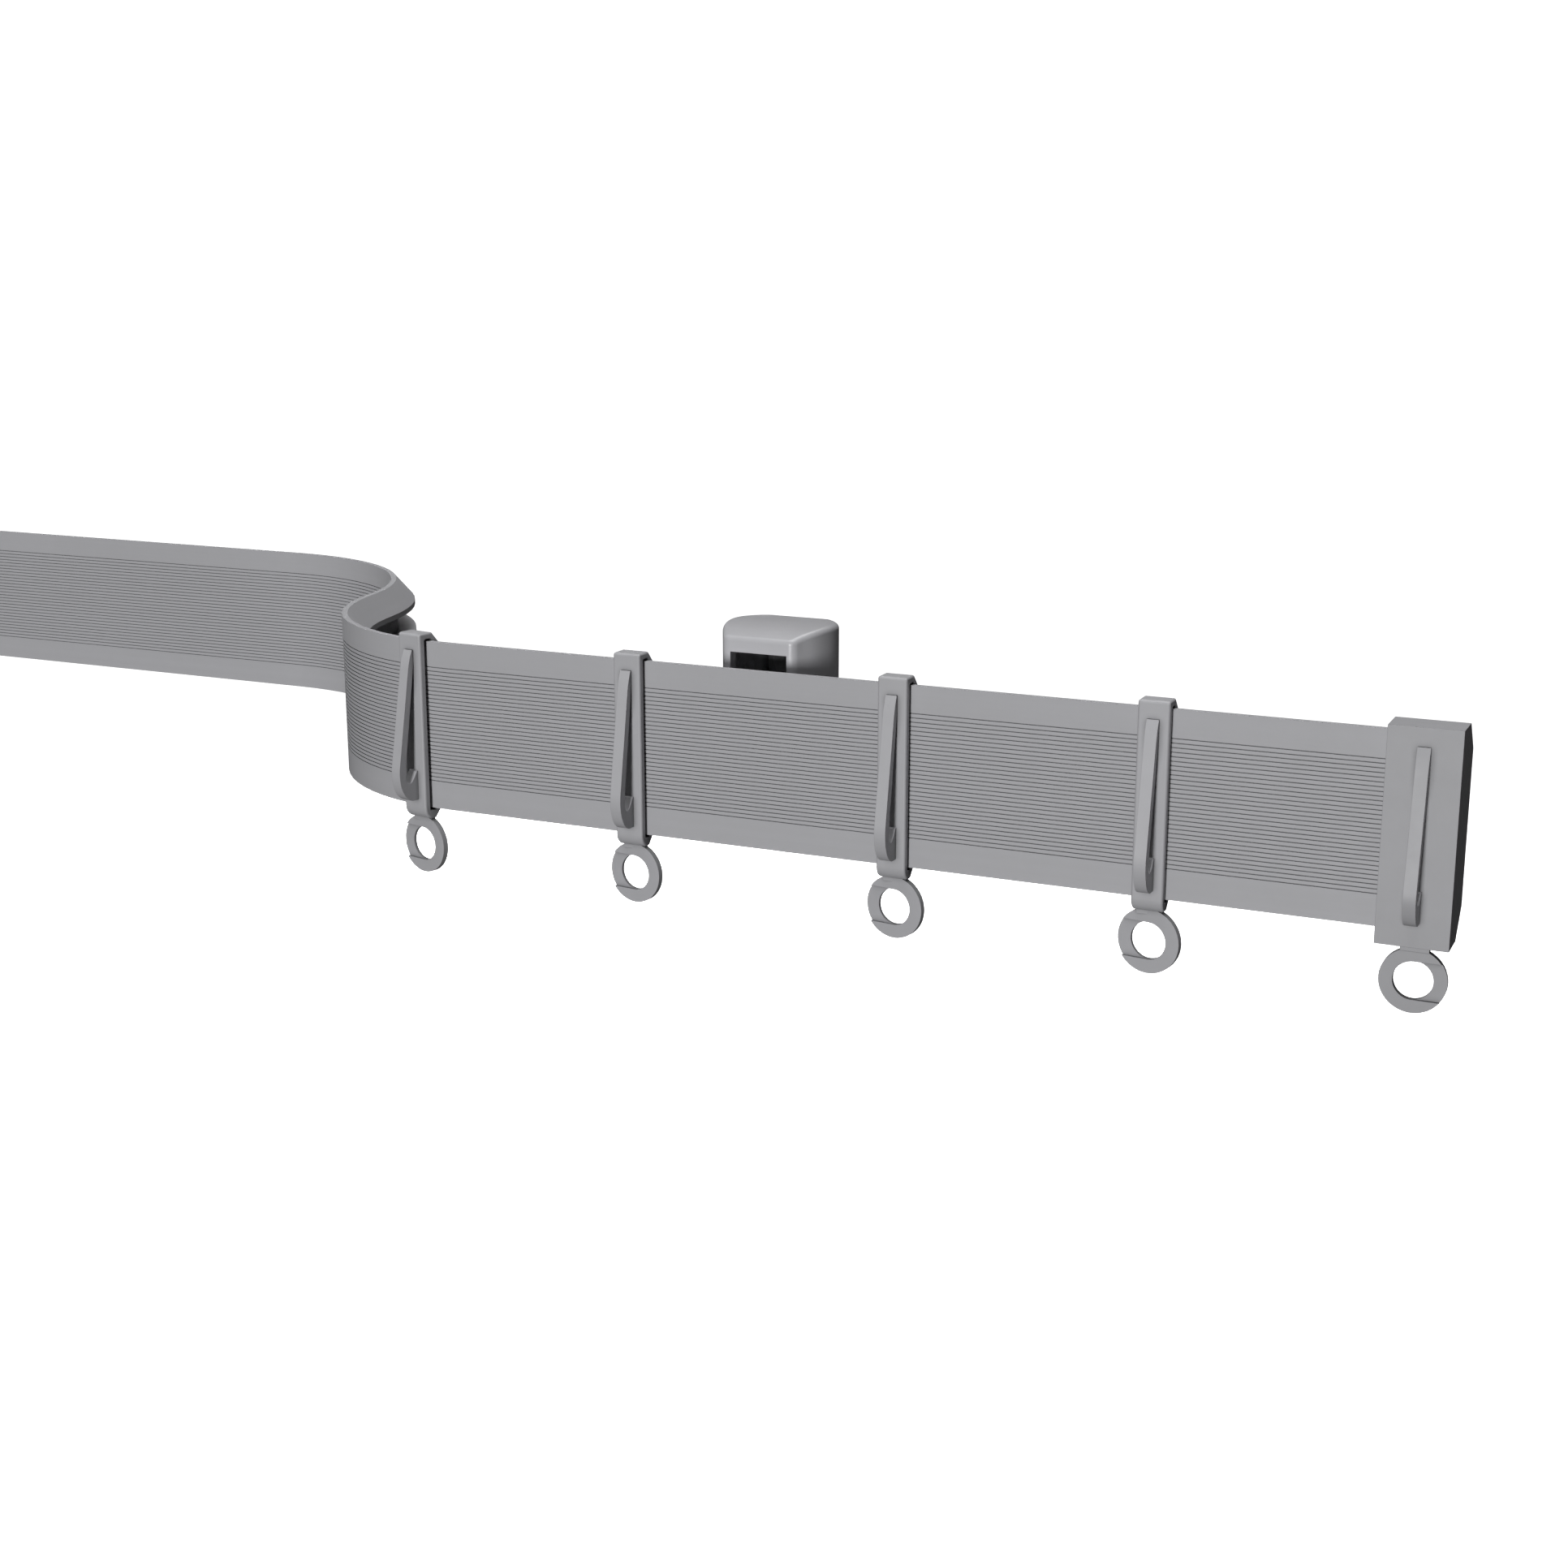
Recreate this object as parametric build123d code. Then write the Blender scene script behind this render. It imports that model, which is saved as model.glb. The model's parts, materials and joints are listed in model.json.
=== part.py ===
from build123d import *
import os
from math import sin, cos, radians, hypot

# Curtain track: a wide, flat, ribbed extrusion bent into a double bend, with
# glide-over gliders, moulded end stops and two wall brackets.
#
# Frame, in millimetres: +X along the track to the right, +Y into the wall,
# +Z up.  The origin is the centre of the right-hand wall bracket's back face,
# where it meets the wall, at the track's mid height.

# ----------------------------------------------------------------- rail ----
H2 = 14.0            # half of the rail's height
T_WALL = 0.97        # front wall and lip thickness
FACE_Y = -23.6       # front face of the right-hand (front) run
SET_BACK = 73.17     # the left run's face stands this much further back
X_RIGHT = 107.8      # cut ends of the rail
X_LEFT = -278.8
X_BEND = -51.77      # where the front run meets its bend
R_FRONT = 40.89      # front bend, radius of the front face (outside)
R_REAR = 44.63       # rear bend, radius of the front face (inside)
TURN = 78.43         # angle of both bends, degrees
L_LINK = 4.91        # straight between the bends
FL_Y, FL_Z = 4.35, 10.08   # free edge of the sloping flange
FL_T = 0.98          # height of the flange's free edge
CH_Z = 4.63          # outer half height of the central channel
CH_T = 0.97          # its wall
CH_Y = 4.40          # its depth behind the front face
LIP_T = 0.9          # thickness and inner half gap of the channel's lips
LIP_Z = 2.35
N_GROOVE = 30        # fine grooves in the front face
GROOVE_TOP = 9.80
GROOVE_PITCH = 0.6596
GROOVE_W = 0.16
GROOVE_D = 0.18

# --------------------------------------------------------------- gliders ----
G_W = 4.7            # width along the track
G_OUT = 1.75         # outer face in front of the rail's face
G_IN = 0.70          # inner face in front of the rail's face
G_TOP, G_TOP_IN = 15.35, 14.42
G_BOT, G_BOT_IN = -15.9, -14.45
G_SLOPE = (0.677, -0.736)   # direction of its sloping back, from the lip
G_OFF_OUT = 1.15     # outer and inner slope, off the line through the lip
G_OFF_IN = 0.25
G_BACK_IN, G_BACK_OUT = 4.80, 5.70
G_LIP_END = 9.0      # the back lips end at this height
GLIDER_X = (-18.08, 26.59, 66.28)     # gliders 2 to 4, on the front run
GLIDER1_ANGLE = 9.4  # glider 1, on the front bend
HOOK_W = 1.8         # curtain hook on each plate
RING_Z, RING_RO, RING_RI = -20.50, 4.88, 2.82
RING_T, RING_Y, RING_STEP = 1.0, 0.40, 0.42
RING_TURN = -8.5     # the gliders' rings stand turned about the vertical
RING_TURN_1 = -4.7   # and that of glider 1 a little less

# -------------------------------------------------------------- end stops ----
ES_X0, ES_X1 = 98.9, 108.96
ES_OUT = 3.5         # front face in front of the rail's face
ES_TOP = 15.35
ES_TOP_Y = 2.0       # the flat top ends here, then slopes to the back
ES_BACK, ES_BACK_Z = 5.55, 11.2
ES_RING_Z, ES_RING_RO, ES_RING_RI = -21.10, 4.68, 2.78
ES_LEFT_END = -280.0

# --------------------------------------------------------------- brackets ----
B_DEPTH = 15.6       # wall to the housing's front face
B_PLAN = [(5.9, 0.0), (7.25, -1.6), (8.35, -3.2), (8.95, -4.9), (9.1, -7.0), (8.85, -9.0), (8.35, -10.9), (7.68, -12.5), (6.95, -13.8), (5.95, -15.6)]
B_TOP = [(0.0, 18.45), (-3.5, 18.7), (-7.0, 18.8), (-10.0, 18.7), (-12.5, 18.35), (-14.2, 17.9), (-15.6, 17.4)]
B_BOT = -15.8        # the bottom, flat
B_R_SIDE, B_R_TOP, B_R_BOT = 1.5, 0.9, 0.6   # rounded edges
WIN_X, WIN_TOP, WIN_BOT = 4.84, 15.05, -12.6
PLATE_T = 2.2
PLATE_X, PLATE_TOP, PLATE_BOT = 4.5, 15.6, -13.8
SCREW_Z = (11.5, -9.9)   # the two wall screw holes
SCREW_R = 2.1
BRACKET2_X = -254.0
BOSS_X, BOSS_TOP, BOSS_BOT, BOSS_Y = 4.2, -2.1, -6.9, -12.2
CLIP_X = 4.2
CLIP_Z = 2.05
CLIP_SCREW_Y = -7.6
CLIP_SCREW_R = 1.25

os.makedirs("parts", exist_ok=True)


def save(shape, name, colour=(0.60, 0.60, 0.61)):
    shape.label = name
    shape.color = Color(*colour)
    export_step(shape, f"parts/{name}.step")
    print(name, "solids", len(shape.solids()), "volume", round(shape.volume, 1), "valid", shape.is_valid)


def prism(points, width, at=(0, 0, 0), turn=0.0, centre=0.0):
    """Solid from (u, z) points, u backwards from the rail's front face.  It is
    width wide along the track, centred on centre, turned about Z at the point."""
    face = make_face(Polyline(*[(u, z) for u, z in points], close=True))
    plane = Plane(origin=(centre - width / 2, 0, 0), x_dir=(0, 1, 0), z_dir=(1, 0, 0))
    solid = extrude(plane * face, amount=width, dir=(1, 0, 0))
    return Location(at, (0, 0, turn)) * solid


def one(shape):
    s = shape.solids()
    assert len(s) == 1, len(s)
    return s[0]


# ------------------------------------------------------------------ rail ----
SL = ((FL_Y - T_WALL), (FL_Z - H2))      # the flange's outer slope
SD = G_SLOPE
NRM = (-SD[1], SD[0])                    # the slope's outward normal


def rail_section():
    inner_y = T_WALL
    # the flange's underside runs parallel to its top
    slope = SL[1] / SL[0]
    z_in = (FL_Z - FL_T) - slope * (FL_Y - inner_y)
    up = [(T_WALL, H2), (FL_Y, FL_Z), (FL_Y, FL_Z - FL_T), (inner_y, z_in),
          (inner_y, CH_Z), (CH_Y, CH_Z), (CH_Y, LIP_Z), (CH_Y - LIP_T, LIP_Z),
          (CH_Y - LIP_T, CH_Z - CH_T), (inner_y, CH_Z - CH_T)]
    down = [(y, -z) for y, z in reversed(up)]
    front = []
    for i in reversed(range(N_GROOVE)):
        z = GROOVE_TOP - i * GROOVE_PITCH
        front += [(0, z - GROOVE_W / 2), (GROOVE_D, z - GROOVE_W / 4),
                  (GROOVE_D, z + GROOVE_W / 4), (0, z + GROOVE_W / 2)]
    pts = [(0, -H2)] + front + [(0, H2)] + up + down
    return make_face(Polyline(*pts, close=True))


phi = radians(TURN)
c1 = (X_BEND, FACE_Y + R_FRONT)
p1 = (X_BEND, FACE_Y)
m1 = (c1[0] - R_FRONT * sin(phi / 2), c1[1] - R_FRONT * cos(phi / 2))
p2 = (c1[0] - R_FRONT * sin(phi), c1[1] - R_FRONT * cos(phi))
p3 = (p2[0] - L_LINK * cos(phi), p2[1] + L_LINK * sin(phi))
c2 = (p3[0] - R_REAR * sin(phi), p3[1] - R_REAR * cos(phi))
m2 = (c2[0] + R_REAR * sin(phi / 2), c2[1] + R_REAR * cos(phi / 2))
p4 = (c2[0], c2[1] + R_REAR)
print("rear run face at", round(p4[1] - FACE_Y, 2), "behind; bend ends at x", round(p4[0], 2))
path = Wire([Line((X_RIGHT, FACE_Y), p1).edge(), ThreePointArc(p1, m1, p2).edge(), Line(p2, p3).edge(),
             ThreePointArc(p3, m2, p4).edge(), Line(p4, (X_LEFT, p4[1])).edge()])
section = Plane(origin=(X_RIGHT, FACE_Y, 0), x_dir=(0, 1, 0), z_dir=(1, 0, 0)) * rail_section()
rail = one(sweep(section, path=path))
REAR_Y = p4[1]
print("rail: section", round(section.area, 2), "length", round(path.length, 1))


# -------------------------------------------------------- hook and rings ----
HOOK = [(-1.88, 12.65), (-2.12, 12.72), (-2.50, 11.9), (-2.84, 10.9), (-3.18, 9.5),
        (-5.98, -6.4), (-6.06, -7.4), (-6.02, -8.4), (-5.82, -9.5), (-5.44, -10.5), (-4.92, -11.3),
        (-4.28, -11.9), (-3.55, -12.28), (-2.8, -12.40), (-1.2, -12.40), (-1.2, -7.5),
        (-1.75, -7.5), (-2.05, -7.62), (-3.10, -9.05), (-3.38, -9.28), (-3.75, -9.36), (-4.12, -9.28),
        (-4.42, -9.02), (-4.60, -8.6), (-4.62, -8.0), (-4.40, -5.6), (-4.02, -3.2),
        (-2.12, 8.7), (-2.00, 9.6), (-1.88, 10.8)]


def hook(out, width=HOOK_W, foot=0.0):
    """Curtain hook whose foot is on a face that stands out in front of the rail.
    foot raises its lower end."""
    d = out - G_OUT
    p = [(u - d, z + (foot * min(1.0, (-6.4 - z) / 3.0) if z < -6.4 else 0.0)) for u, z in HOOK]
    arm = (p[5][0] - p[4][0], p[5][1] - p[4][1])
    back = (p[27][0] - p[26][0], p[27][1] - p[26][1])
    edges = [Line(p[0], p[1]).edge(), Spline(*p[1:5], tangents=[(-0.4, -1.0), arm]).edge(), Line(p[4], p[5]).edge(),
             Spline(*p[5:14], tangents=[arm, (1, 0)]).edge(), Polyline(*p[13:18]).wire(),
             Spline(*p[17:27], tangents=[(-0.6, -1.0), back]).edge(), Line(p[26], p[27]).edge(),
             Polyline(*p[27:30], p[0]).wire()]
    plane = Plane(origin=(-width / 2, 0, 0), x_dir=(0, 1, 0), z_dir=(1, 0, 0))
    return extrude(plane * make_face(edges), amount=width, dir=(1, 0, 0))


def ring(zc, ro, ri, turn, side, y=RING_Y):
    """Flat ring under the rail, its face stepped back on one side of its middle."""
    r = Cylinder(ro, RING_T, rotation=(90, 0, 0)) - Cylinder(ri, RING_T * 2, rotation=(90, 0, 0))
    cut = Box(ro * 2, RING_STEP, ri * 2)
    cut = Pos(side * ro, -RING_T / 2 + RING_STEP / 2, 0) * cut
    return Location((0, y, zc), (0, 0, turn)) * (r - cut)


def rounded(solid, edges, radius):
    try:
        return fillet(edges, radius)
    except Exception as e:
        print("fillet skipped:", e)
        return solid


# --------------------------------------------------------------- glider ----
def slope_z(u, off, z0=H2):
    """Height of the line that runs off the flange's outer slope, at depth u."""
    x0, y0 = T_WALL + off * NRM[0], z0 + off * NRM[1]
    return y0 + (u - x0) * SD[1] / SD[0]


def slope_u(z, off):
    x0, y0 = T_WALL + off * NRM[0], H2 + off * NRM[1]
    return x0 + (z - y0) * SD[0] / SD[1]


def glider(ring_turn=RING_TURN):
    t_out = [(-G_OUT, G_TOP), (slope_u(G_TOP, G_OFF_OUT), G_TOP), (G_BACK_OUT, slope_z(G_BACK_OUT, G_OFF_OUT)),
             (G_BACK_OUT, G_LIP_END), (G_BACK_IN, G_LIP_END), (G_BACK_IN, slope_z(G_BACK_IN, G_OFF_IN)),
             (slope_u(G_TOP_IN, G_OFF_IN), G_TOP_IN), (-G_IN, G_TOP_IN)]
    b_out = [(-G_OUT, G_BOT), (slope_u(-G_BOT, G_OFF_OUT), G_BOT), (G_BACK_OUT, -slope_z(G_BACK_OUT, G_OFF_OUT)),
             (G_BACK_OUT, -G_LIP_END), (G_BACK_IN, -G_LIP_END), (G_BACK_IN, -slope_z(G_BACK_IN, G_OFF_IN)),
             (slope_u(-G_BOT_IN, G_OFF_IN), G_BOT_IN), (-G_IN, G_BOT_IN)]
    body = one(prism(t_out + list(reversed(b_out)), G_W))
    # large radius at the bottom front corner, small ones elsewhere
    ex = body.edges().filter_by(Axis.X)

    def near(u, z):
        return sorted(ex, key=lambda e: hypot(e.center().Y - u, e.center().Z - z))[0]
    body = rounded(body, [near(-G_OUT, G_BOT)], 2.0)
    ex = body.edges().filter_by(Axis.X)
    body = rounded(body, [near(-G_OUT, G_TOP), near(slope_u(G_TOP, G_OFF_OUT), G_TOP),
                          near(G_BACK_OUT, slope_z(G_BACK_OUT, G_OFF_OUT)), near(-G_IN, G_TOP_IN),
                          near(G_BACK_OUT, -slope_z(G_BACK_OUT, G_OFF_OUT)), near(slope_u(-G_BOT, G_OFF_OUT), G_BOT),
                          near(G_BACK_OUT, G_LIP_END), near(G_BACK_IN, G_LIP_END),
                          near(G_BACK_OUT, -G_LIP_END), near(G_BACK_IN, -G_LIP_END)], 0.4)
    # soft edges round the outline of the front plate
    front = [e for e in body.edges() if abs(e.center().X) > G_W / 2 - 0.01 and e.center().Y < slope_u(-G_BOT, G_OFF_OUT)
             and (e.center().Y < -G_OUT + 0.01 or e.center().Z > G_TOP - 0.3 or e.center().Z < G_BOT + 1.4)]
    front = [e for e in front if e.center().Y < -G_IN - 0.2 or abs(e.center().Z) > 15.0]
    body = rounded(body, front, 0.35)
    neck = Pos(0, RING_Y - 0.02, (G_BOT - 16.5) / 2 + 0.2) * Box(3.8, 0.9, abs(-16.5 - G_BOT) + 0.4)
    g = body + hook(G_OUT) + neck + ring(RING_Z, RING_RO, RING_RI, ring_turn, -1)
    return one(g)


GL = glider()
GL_1 = glider(RING_TURN_1)

# -------------------------------------------------------------- end stop ----
def end_stop(x0, x1, side):
    """Moulded cap pushed over the rail's end.  side +1 closes it at x1."""
    w = x1 - x0
    outer = [(-ES_OUT, -ES_TOP), (-ES_OUT, ES_TOP), (ES_TOP_Y, ES_TOP), (ES_BACK, ES_BACK_Z),
             (ES_BACK, -ES_BACK_Z), (ES_TOP_Y, -ES_TOP)]
    c = (x0 + x1) / 2
    body = prism(outer, w)
    deep = CH_Y + 0.2
    pocket = [(0, -H2), (0, H2), (T_WALL, H2), (FL_Y, FL_Z), (deep, FL_Z), (deep, -FL_Z), (FL_Y, -FL_Z), (T_WALL, -H2)]
    depth = w - (x1 - X_RIGHT if side > 0 else X_LEFT - x0)
    body -= prism(pocket, depth, centre=-side * (w - depth) / 2)
    body = body + hook(ES_OUT, foot=0.55) + (Pos(0, RING_Y - 0.15, -16.0) * Box(4.0, 1.1, 1.8)) + \
        ring(ES_RING_Z, ES_RING_RO, ES_RING_RI, 0, side, RING_Y - 0.15)
    return one(body), c


# --------------------------------------------------------------- bracket ----
def housing():
    """Soft-cornered shell, open at the wall, crowned on top, with a window in its front."""
    end = B_PLAN[-1]
    side = Spline(*B_PLAN, tangents=[(0.62, -0.78), (-0.60, -0.80)]).edge()
    plan = make_face([side, Line(end, (0, end[1])).edge(), Line((0, end[1]), (0, 0)).edge(), Line((0, 0), B_PLAN[0]).edge()])
    half = extrude(Pos(0, 0, B_BOT) * plan, amount=30 - B_BOT, dir=(0, 0, 1))
    crown = Spline(*B_TOP, tangents=[(-1, 0.16), (-1, -0.42)]).edge()
    low = B_BOT - 1
    end = B_TOP[-1]
    prof = make_face([crown, Line(end, (end[0], low)).edge(), Line((end[0], low), (0, low)).edge(), Line((0, low), B_TOP[0]).edge()])
    block = extrude(Plane(origin=(-15, 0, 0), x_dir=(0, 1, 0), z_dir=(1, 0, 0)) * prof, amount=30, dir=(1, 0, 0))
    half = one(half & block)
    # the upright corner first, then the edge round the top, then the one round the bottom
    half = fillet([e for e in half.edges() if e.center().X > 5.5 and abs(e.center().Y + B_DEPTH) < 0.05 and e.length > 20], B_R_SIDE)
    half = fillet([e for e in half.edges() if e.center().Z > 15.5 and e.center().Y < -0.05 and abs(e.center().X) > 0.01], B_R_TOP)
    half = fillet([e for e in half.edges() if abs(e.center().Z - B_BOT) < 0.01 and e.center().Y < -0.1 and e.center().X > 5.4], B_R_BOT)
    half = one(half)
    solid = one(half + mirror(half, about=Plane.YZ))
    inner_pts = [(4.7, 0.5), (4.7, -0.5), (6.6, -3.2), (7.1, -5.2), (7.3, -7.2), (7.0, -9.6), (6.2, -12.2), (5.4, -13.6)]
    inner = make_face(Polyline(*(inner_pts + [(-x, y) for x, y in reversed(inner_pts)]), close=True))
    solid -= extrude(Pos(0, 0, B_BOT + 1.8) * inner, amount=16.3 - B_BOT - 1.8, dir=(0, 0, 1))
    solid -= Pos(0, -B_DEPTH, (WIN_TOP + WIN_BOT) / 2) * Box(2 * WIN_X, 6.0, WIN_TOP - WIN_BOT)
    return one(solid)


def base():
    """Wall plate with two screw holes and a boss that carries the rail clip."""
    b = Pos(0, -PLATE_T / 2, (PLATE_TOP + PLATE_BOT) / 2) * Box(2 * PLATE_X, PLATE_T, PLATE_TOP - PLATE_BOT)
    b += Pos(0, (BOSS_Y - PLATE_T) / 2 + 0.0, (BOSS_TOP + BOSS_BOT) / 2) * \
        Box(2 * BOSS_X, abs(BOSS_Y + PLATE_T) , BOSS_TOP - BOSS_BOT)
    for z in SCREW_Z:
        b -= Pos(0, -PLATE_T / 2, z) * Cylinder(SCREW_R, PLATE_T * 3, rotation=(90, 0, 0))
        b -= Location((0, -PLATE_T + 0.5, z), (90, 0, 0)) * Cone(SCREW_R, 3.6, 1.0001)
    # screw hole and pocket for the square nut
    b -= Pos(0, CLIP_SCREW_Y, (BOSS_TOP + BOSS_BOT) / 2) * Cylinder(CLIP_SCREW_R + 0.2, 12)
    b -= Pos(0, CLIP_SCREW_Y, BOSS_BOT + 1.0) * Box(5.0, 5.0, 2.0)
    return one(b)


def clip():
    """Arm with a T head that turns into the channel behind the rail's face."""
    y_back = FACE_Y + CH_Y
    head0, head1 = FACE_Y + T_WALL + 0.25, y_back - LIP_T
    c = Pos(0, (head0 + head1) / 2, 0) * Box(2 * CLIP_X, head1 - head0, 2 * (CH_Z - CH_T) - 0.3)
    y_end = -PLATE_T
    c += Pos(0, (head1 + y_end) / 2, 0) * Box(2 * CLIP_X, y_end - head1, 2 * CLIP_Z)
    c -= Pos(0, CLIP_SCREW_Y, 0) * Cylinder(CLIP_SCREW_R + 0.2, 12)
    c = one(c)
    ez = [e for e in c.edges().filter_by(Axis.Z) if e.center().Y < head1 + 0.01]
    return rounded(c, ez, 0.5)


def clip_screw():
    s = Pos(0, CLIP_SCREW_Y, (CLIP_Z + BOSS_BOT - 0.4) / 2) * Cylinder(CLIP_SCREW_R, CLIP_Z - BOSS_BOT + 0.4)
    head = Pos(0, CLIP_SCREW_Y, CLIP_Z + 0.8) * Cylinder(2.4, 1.6)
    head = fillet(head.edges().filter_by(GeomType.CIRCLE).sort_by(Axis.Z)[-1], 0.6)
    slot = Pos(0, CLIP_SCREW_Y, CLIP_Z + 1.5) * (Box(3.0, 0.6, 1.6) + Box(0.6, 3.0, 1.6))
    return one(s + head - slot)


def clip_nut():
    n = Pos(0, CLIP_SCREW_Y, BOSS_BOT + 1.0) * (Box(5.0, 5.0, 1.8) - Cylinder(CLIP_SCREW_R, 4))
    return one(n)


# ------------------------------------------------------------- placing ----
save(rail, "track_rail")
a = radians(GLIDER1_ANGLE)
g1 = Location((c1[0] - R_FRONT * sin(a), c1[1] - R_FRONT * cos(a), 0), (0, 0, -GLIDER1_ANGLE)) * GL_1
save(g1, "glider_1")
for i, x in enumerate(GLIDER_X):
    save(Pos(x, FACE_Y, 0) * GL, f"glider_{i + 2}")
es, c = end_stop(ES_X0, ES_X1, 1)
save(Pos(c, FACE_Y, 0) * es, "end_stop_right")
es2, c = end_stop(ES_LEFT_END, ES_LEFT_END + (ES_X1 - ES_X0), -1)
save(Pos(c, REAR_Y, 0) * es2, "end_stop_left")
HOUS, BASE, CLIP, CSCR, CNUT = housing(), base(), clip(), clip_screw(), clip_nut()
for tag, dx, dy in (("bracket_1", 0.0, 0.0), ("bracket_2", BRACKET2_X, REAR_Y - FACE_Y)):
    save(Pos(dx, dy, 0) * HOUS, tag + "_housing")
    save(Pos(dx, dy, 0) * BASE, tag + "_wall_plate")
    save(Pos(dx, dy, 0) * CLIP, tag + "_rail_clip")
    save(Pos(dx, dy, 0) * CSCR, tag + "_clamp_screw", (0.75, 0.75, 0.76))
    save(Pos(dx, dy, 0) * CNUT, tag + "_clamp_nut", (0.75, 0.75, 0.76))
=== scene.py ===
import json
import math
import bpy
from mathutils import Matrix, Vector

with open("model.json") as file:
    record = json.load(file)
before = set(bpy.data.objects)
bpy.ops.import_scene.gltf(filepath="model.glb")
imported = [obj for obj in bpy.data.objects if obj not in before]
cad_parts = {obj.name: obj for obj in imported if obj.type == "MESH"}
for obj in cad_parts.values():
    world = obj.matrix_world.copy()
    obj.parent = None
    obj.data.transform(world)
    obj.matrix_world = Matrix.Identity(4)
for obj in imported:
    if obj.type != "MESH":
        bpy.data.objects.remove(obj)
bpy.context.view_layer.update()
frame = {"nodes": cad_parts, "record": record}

nodes = frame["nodes"]


# ---------------------------------------------------------------- materials
def srgb(v):
    """Linear value of an sRGB tone from 0 to 1."""
    return v / 12.92 if v <= 0.04045 else ((v + 0.055) / 1.055) ** 2.4


class Mat:
    """Small helper round one node tree."""

    def __init__(self, name):
        self.mat = bpy.data.materials.new(name)
        self.mat.use_nodes = True
        self.t = self.mat.node_tree
        self.t.nodes.clear()
        self.out = self.t.nodes.new("ShaderNodeOutputMaterial")
        self.b = self.t.nodes.new("ShaderNodeBsdfPrincipled")
        self.link(self.b.outputs[0], self.out.inputs[0])
        self.co = self.t.nodes.new("ShaderNodeTexCoord").outputs["Object"]

    def link(self, a, b):
        self.t.links.new(a, b)

    def new(self, kind, **inputs):
        n = self.t.nodes.new(kind)
        for k, v in inputs.items():
            n.inputs[k.replace("_", " ")].default_value = v
        return n

    def mapped(self, scale):
        m = self.new("ShaderNodeMapping")
        m.inputs["Scale"].default_value = scale
        self.link(self.co, m.inputs["Vector"])
        return m.outputs[0]

    def noise(self, scale, detail=3.0, rough=0.5, stretch=(1, 1, 1), w=0.0):
        n = self.t.nodes.new("ShaderNodeTexNoise")
        n.noise_dimensions = "4D"
        n.inputs["Scale"].default_value = scale
        n.inputs["Detail"].default_value = detail
        n.inputs["Roughness"].default_value = rough
        n.inputs["W"].default_value = w
        self.link(self.mapped(stretch), n.inputs["Vector"])
        return n.outputs["Fac"]

    def remap(self, value, lo, hi, a=0.3, b=0.7):
        m = self.new("ShaderNodeMapRange")
        m.inputs["From Min"].default_value = a
        m.inputs["From Max"].default_value = b
        m.inputs["To Min"].default_value = lo
        m.inputs["To Max"].default_value = hi
        self.link(value, m.inputs["Value"])
        return m.outputs["Result"]

    def ramp(self, value, stops):
        r = self.t.nodes.new("ShaderNodeValToRGB")
        cr = r.color_ramp
        while len(cr.elements) < len(stops):
            cr.elements.new(0.5)
        for e, (p, c) in zip(cr.elements, stops):
            e.position = p
            e.color = (*c, 1)
        self.link(value, r.inputs[0])
        return r.outputs[0]

    def math(self, op, a, b):
        m = self.t.nodes.new("ShaderNodeMath")
        m.operation = op
        for i, v in enumerate((a, b)):
            if isinstance(v, (int, float)):
                m.inputs[i].default_value = v
            else:
                self.link(v, m.inputs[i])
        return m.outputs[0]

    def bump(self, value, strength, distance, normal=None):
        n = self.t.nodes.new("ShaderNodeBump")
        n.inputs["Strength"].default_value = strength
        n.inputs["Distance"].default_value = distance
        self.link(value, n.inputs["Height"])
        if normal is not None:
            self.link(normal, n.inputs["Normal"])
        return n.outputs[0]

    def scaled(self, colour, factor):
        """Colour times a number."""
        n = self.t.nodes.new("ShaderNodeVectorMath")
        n.operation = "SCALE"
        self.link(colour, n.inputs[0])
        self.link(factor, n.inputs["Scale"])
        return n.outputs[0]

    def painted_gap_shade(self, reach, power, lo, samples=8):
        """Painted shade factor: 1 on open faces, down to lo deep in a gap narrower than reach."""
        n = self.t.nodes.new("ShaderNodeAmbientOcclusion")
        n.samples = samples
        n.inputs["Distance"].default_value = reach
        return self.remap(self.math("POWER", n.outputs["AO"], power), lo, 1.0, 0.0, 1.0)

    def bevel(self, radius):
        n = self.t.nodes.new("ShaderNodeBevel")
        n.samples = 8
        n.inputs["Radius"].default_value = radius
        return n.outputs[0]


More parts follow.
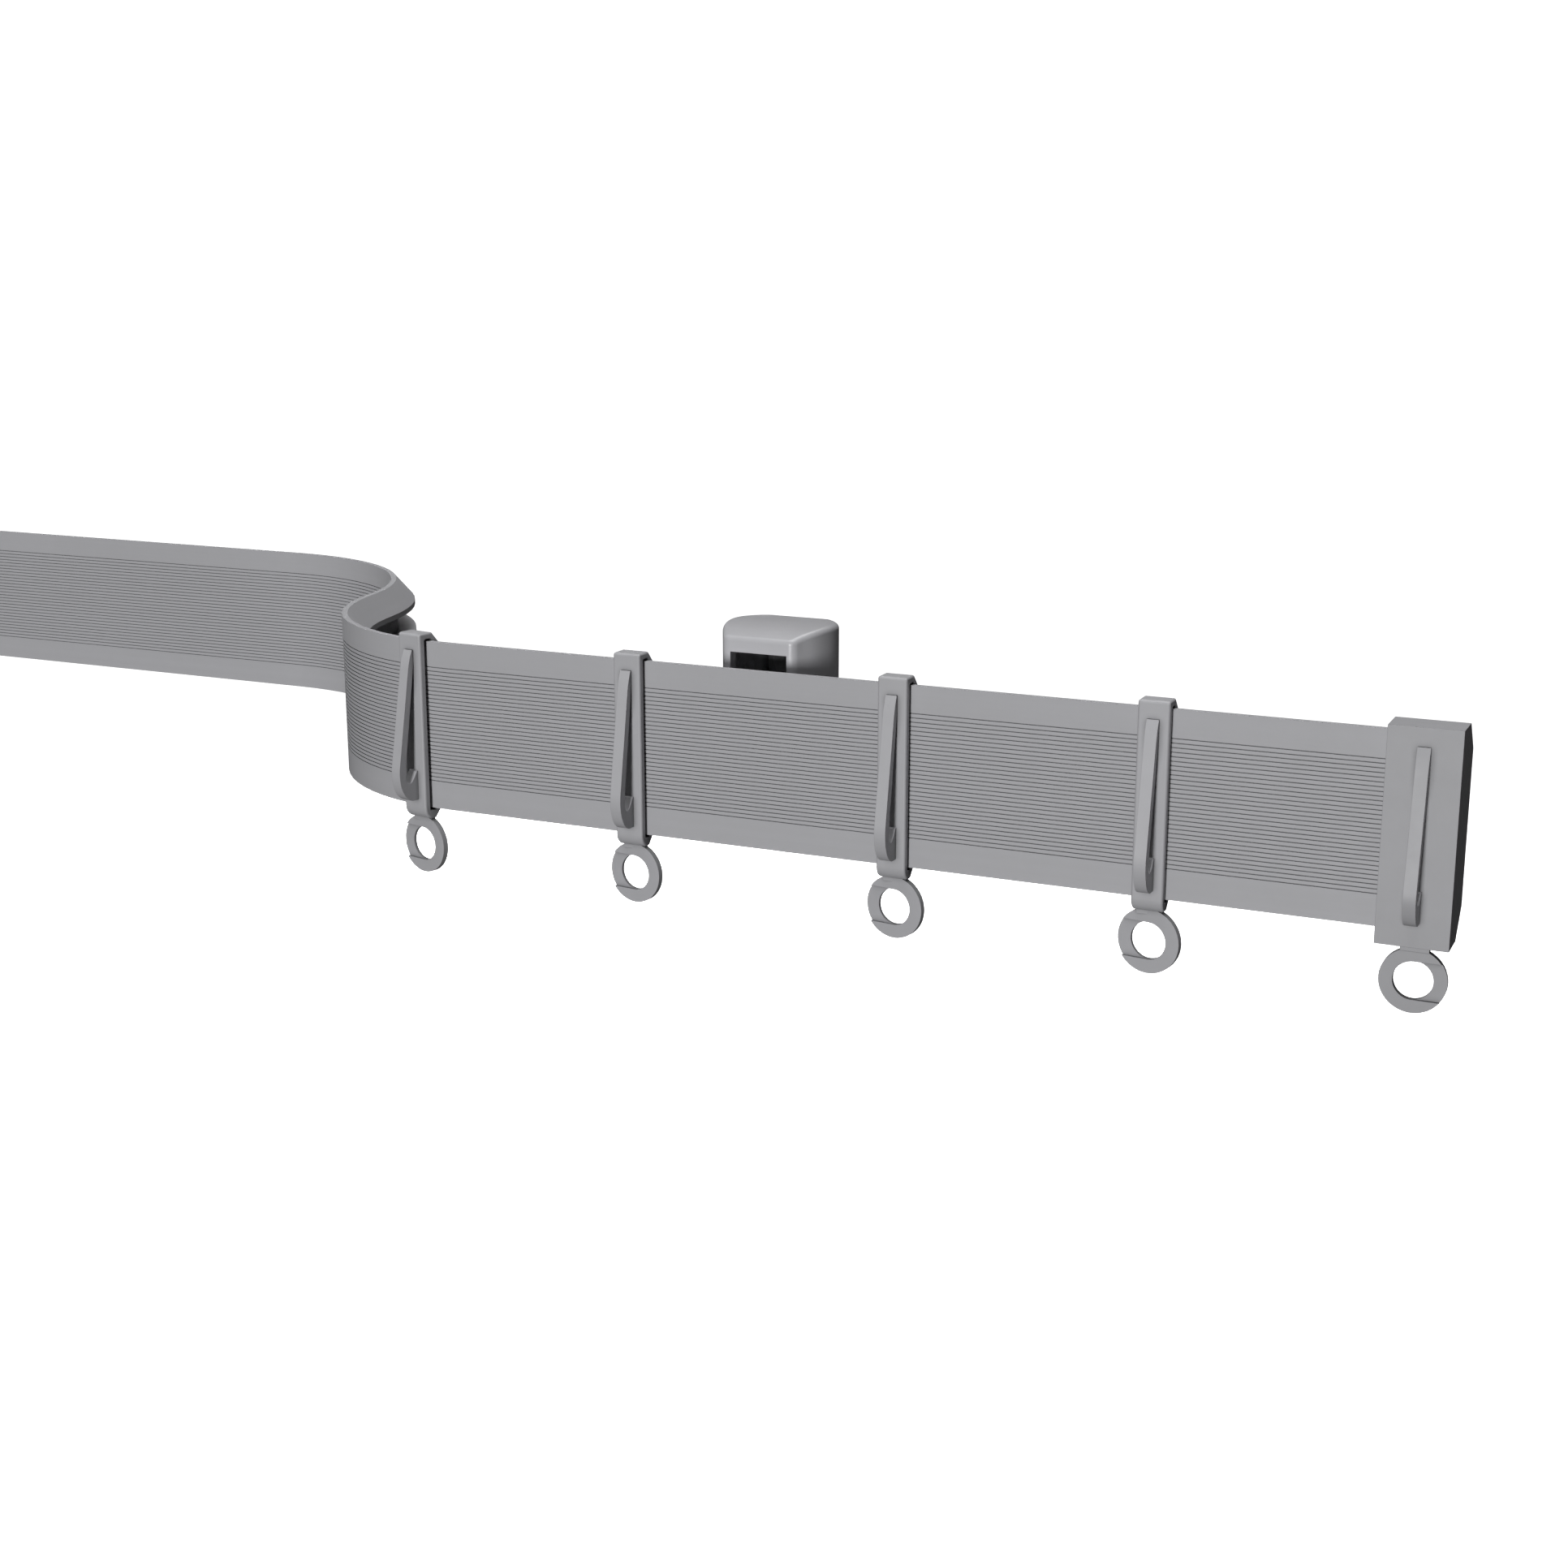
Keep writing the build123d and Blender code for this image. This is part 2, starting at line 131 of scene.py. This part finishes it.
def plastic(name, tone, rough=0.42, grain=1.0, edge=0.00018, w=0.0, cool=0.035, lines=False, spec=0.45, gap=(0.0015, 1.3, 0.10)):
    """Moulded or extruded plastic: tone is its linear grey."""
    m = Mat(name)
    # slow drift of tone over the moulding, and a finer mottle
    slow = m.noise(28, 3, 0.55, w=w)
    fine = m.noise(420, 4, 0.6, w=w + 3)
    both = m.math("ADD", m.math("MULTIPLY", slow, 0.65), m.math("MULTIPLY", fine, 0.35))
    if lines:
        # faint die lines that run along the extrusion
        die = m.noise(900, 3, 0.65, stretch=(0.004, 0.004, 1), w=w + 7)
        both = m.math("ADD", m.math("MULTIPLY", both, 0.6), m.math("MULTIPLY", die, 0.4))
    dark, light = tone * 0.965, tone * 1.035
    col = m.ramp(both, [(0.32, (dark, dark, dark * (1 + cool))), (0.68, (light, light, light * (1 + cool * 1.3)))])
    # painted shade: base colour darkened by ambient occlusion in the narrow gaps and grooves, where shade falls
    col = m.scaled(col, m.painted_gap_shade(*gap))
    m.link(col, m.b.inputs["Base Color"])
    r = m.remap(m.noise(160, 4, 0.6, w=w + 11), rough - 0.05, rough + 0.06)
    m.link(r, m.b.inputs["Roughness"])
    m.b.inputs["Specular IOR Level"].default_value = spec
    m.b.inputs["IOR"].default_value = 1.5
    # fine spark texture of the mould, on softened edges
    h = m.math("ADD", m.math("MULTIPLY", m.noise(2600, 3, 0.6, w=w + 17), 0.7), m.math("MULTIPLY", m.noise(240, 2, 0.5, w=w + 19), 0.5))
    if lines:
        h = m.math("ADD", h, m.math("MULTIPLY", m.noise(1500, 2, 0.5, stretch=(0.004, 0.004, 1), w=w + 23), 0.8))
    m.link(m.bump(h, 0.3 * grain, 0.000012, m.bevel(edge)), m.b.inputs["Normal"])
    return m.mat


def metal(name):
    m = Mat(name)
    col = m.ramp(m.noise(700, 4, 0.6), [(0.3, (0.42, 0.42, 0.43)), (0.7, (0.62, 0.62, 0.63))])
    m.link(col, m.b.inputs["Base Color"])
    m.b.inputs["Metallic"].default_value = 1.0
    m.link(m.remap(m.noise(1800, 3, 0.6, w=5), 0.28, 0.46), m.b.inputs["Roughness"])
    m.link(m.bump(m.noise(2600, 3, 0.6, w=9), 0.3, 0.00002, m.bevel(0.0001)), m.b.inputs["Normal"])
    return m.mat


# The gap tuple of each plastic sets its painted shade in narrow gaps: reach, power and lowest factor.
MATS = {
    "rail": plastic("rail_plastic", 0.362, rough=0.52, grain=0.5, edge=0.00002, lines=True, w=1.0, spec=0.2, gap=(0.0006, 1.0, 0.25)),
    "glider": plastic("glider_plastic", 0.362, rough=0.46, grain=0.9, edge=0.00012, w=31.0, spec=0.3, gap=(0.0010, 1.0, 0.15)),
    "end_stop": plastic("end_stop_plastic", 0.322, rough=0.46, grain=0.9, edge=0.00012, w=52.0, spec=0.3, gap=(0.0010, 1.0, 0.15)),
    "bracket": plastic("bracket_plastic", 0.396, rough=0.34, grain=0.9, edge=0.00015, w=73.0, spec=0.5, gap=(0.0015, 1.0, 0.3)),
    # bracket_inside: a darker copy of the bracket plastic with strong painted shade from ambient occlusion, which
    # darkens the inside behind the window
    "bracket_inside": plastic("bracket_inside_shaded_plastic", 0.25, rough=0.50, grain=1.0, edge=0.00015, w=94.0, gap=(0.006, 1.5, 0.05)),
    "steel": metal("zinc_plated_steel"),
}
for s in frame["record"]["subparts"]:
    o = nodes[s["node"]]
    o.data.materials.clear()
    o.data.materials.append(MATS[s["material_slot"]])


# ------------------------------------------------------------------- floor
def floor():
    """Round pale floor that curves up into a wall and a domed top, well away from the track."""
    import bmesh
    bm = bmesh.new()
    z0, r0, r = -0.62, 3.0, 1.2
    prof = [(0.6, z0), (1.5, z0), (r0, z0)]
    for i in range(1, 13):
        a = math.radians(90 * i / 12)
        prof.append((r0 + r * math.sin(a), z0 + r * (1 - math.cos(a))))
    top = 2.4
    for i in range(1, 17):
        a = math.radians(90 * i / 16)
        prof.append(((r0 + r) * math.cos(a), z0 + r + top * 0.2 + (r0 + r) * 0.8 * math.sin(a)))
    n = 96
    rows = []
    for rad, z in prof[:-1]:
        rows.append([bm.verts.new((rad * math.cos(2 * math.pi * k / n), rad * math.sin(2 * math.pi * k / n), z)) for k in range(n)])
    low = bm.verts.new((0, 0, z0))
    high = bm.verts.new((0, 0, prof[-1][1]))
    for k in range(n):
        j = (k + 1) % n
        bm.faces.new((low, rows[0][k], rows[0][j]))
        bm.faces.new((high, rows[-1][j], rows[-1][k]))
        for p, q in zip(rows, rows[1:]):
            bm.faces.new((p[k], q[k], q[j], p[j]))
    me = bpy.data.meshes.new("studio_floor")
    bm.to_mesh(me)
    bm.free()
    for p in me.polygons:
        p.use_smooth = True
    o = bpy.data.objects.new("studio_floor", me)
    bpy.context.scene.collection.objects.link(o)
    m = Mat("pale_floor")
    col = m.ramp(m.noise(3, 3, 0.5), [(0.3, (0.94, 0.94, 0.94)), (0.7, (0.97, 0.97, 0.97))])
    m.link(col, m.b.inputs["Base Color"])
    m.b.inputs["Roughness"].default_value = 0.9
    m.b.inputs["Specular IOR Level"].default_value = 0.1
    m.link(col, m.b.inputs["Emission Color"])
    m.b.inputs["Emission Strength"].default_value = 1.0
    me.materials.append(m.mat)
    return o


FLOOR = floor()
FLOOR.visible_diffuse = False
FLOOR.visible_glossy = False
FLOOR.visible_shadow = False


# ------------------------------------------------------------------ lights
def area(name, at, target, size, watts, colour=(1, 1, 1), size_y=None, shadow=True):
    d = bpy.data.lights.new(name, "AREA")
    d.shape = "RECTANGLE"
    d.size = size
    d.size_y = size_y or size
    d.energy = watts
    d.color = colour
    d.use_shadow = shadow
    o = bpy.data.objects.new(name, d)
    o.location = at
    o.rotation_euler = (Vector(target) - Vector(at)).to_track_quat("-Z", "Y").to_euler()
    bpy.context.scene.collection.objects.link(o)
    return o


# A level key from the front, a wide light straight above, a weak one from above
# the back, and a fill behind the left that shows the rear side.
MID = (-0.03, -0.01, 0.0)


def around(az, el, d):
    a, e = math.radians(az), math.radians(el)
    return (MID[0] + d * math.sin(a) * math.cos(e), MID[1] - d * math.cos(a) * math.cos(e), MID[2] + d * math.sin(e))


area("key_front", around(3, 1.5, 3.4), MID, 0.7, 95)
area("top_wide", around(0, 88, 2.3), MID, 1.4, 43)
area("top_back", around(180, 60, 2.5), MID, 1.2, 14)
back = area("back_left", around(-145, 6, 2.5), MID, 0.9, 30)
back.visible_glossy = False

bpy.context.scene.view_settings.view_transform = "Standard"
world = bpy.data.worlds.new("studio")
bpy.context.scene.world = world
world.use_nodes = True
bg = world.node_tree.nodes["Background"]
bg.inputs["Color"].default_value = (1, 1, 1, 1)
bg.inputs["Strength"].default_value = 0.02

# ------------------------------------------------------------------ camera
cam_data = bpy.data.cameras.new("camera")
cam_data.sensor_width = 36
cam_data.lens = 52.428
cam_data.clip_start = 0.01
cam_data.clip_end = 30
cam = bpy.data.objects.new("camera", cam_data)
cam.location = (0.1512, -0.331933, 0.081547)
cam.rotation_euler = (math.radians(76.0009), 0, math.radians(24.8858))
bpy.context.scene.collection.objects.link(cam)
bpy.context.scene.camera = cam
